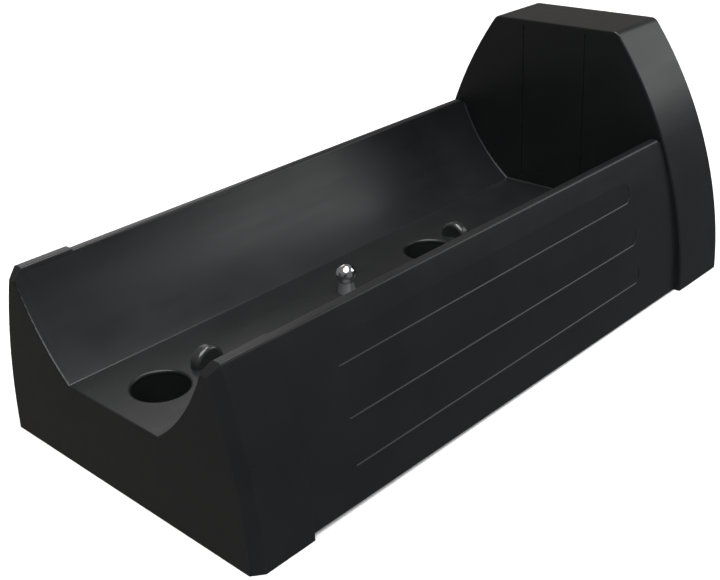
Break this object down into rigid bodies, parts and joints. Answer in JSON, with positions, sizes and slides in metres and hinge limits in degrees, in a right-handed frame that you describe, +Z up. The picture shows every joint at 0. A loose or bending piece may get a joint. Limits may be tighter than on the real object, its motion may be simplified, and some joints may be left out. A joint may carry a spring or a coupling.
{
  "type": "mounting block",
  "caption": "Black moulded cradle: open trough with curved side walls and a tall end housing, two post sockets with quarter-turn locks and a chrome ball stud.",
  "frame": {"origin": "bottom centre of the bounding box, on the plane the base rests on", "axes": "+Y along the trough from the open end to the tall end housing, +X across the trough, +Z up"},
  "size_m": [0.27, 0.56, 0.2183],
  "materials": {
    "moulded_black": "satin, fine moulded texture",
    "base_black": "plain moulded sheet",
    "sleeve_black": "smooth moulded",
    "knob_black": "semi-gloss moulded",
    "chrome": "polished",
    "zinc_steel": "zinc plated",
    "spring_steel": "oiled spring steel"
  },
  "bodies": {
    "cradle": {"cradle_body": "moulded_black", "front_collar": "moulded_black", "end_housing": "moulded_black", "base_plate": "base_black", "base_screws": "zinc_steel", "front_socket_sleeve": "sleeve_black", "rear_socket_sleeve": "sleeve_black", "ball_stud": "chrome", "ball_stud_washer": "zinc_steel", "ball_stud_nut": "zinc_steel", "front_knob_bush": "sleeve_black", "rear_knob_bush": "sleeve_black"},
    "front_knob": {"front_knob_grip": "knob_black", "front_knob_spindle": "zinc_steel", "front_spring_washer": "spring_steel", "front_lock_cam": "zinc_steel", "front_cam_nut": "zinc_steel"},
    "rear_knob": {"rear_knob_grip": "knob_black", "rear_knob_spindle": "zinc_steel", "rear_spring_washer": "spring_steel", "rear_lock_cam": "zinc_steel", "rear_cam_nut": "zinc_steel"}
  },
  "joints": [
    {"name": "front_knob_turn", "type": "hinge", "parent": "cradle", "child": "front_knob", "pos_m": [0, -0.198, 0.0644], "axis": [0, 0, 1], "range_deg": [0, 90]},
    {"name": "rear_knob_turn", "type": "hinge", "parent": "cradle", "child": "rear_knob", "pos_m": [0, 0.077, 0.0644], "axis": [0, 0, 1], "range_deg": [-90, 0]}
  ]
}
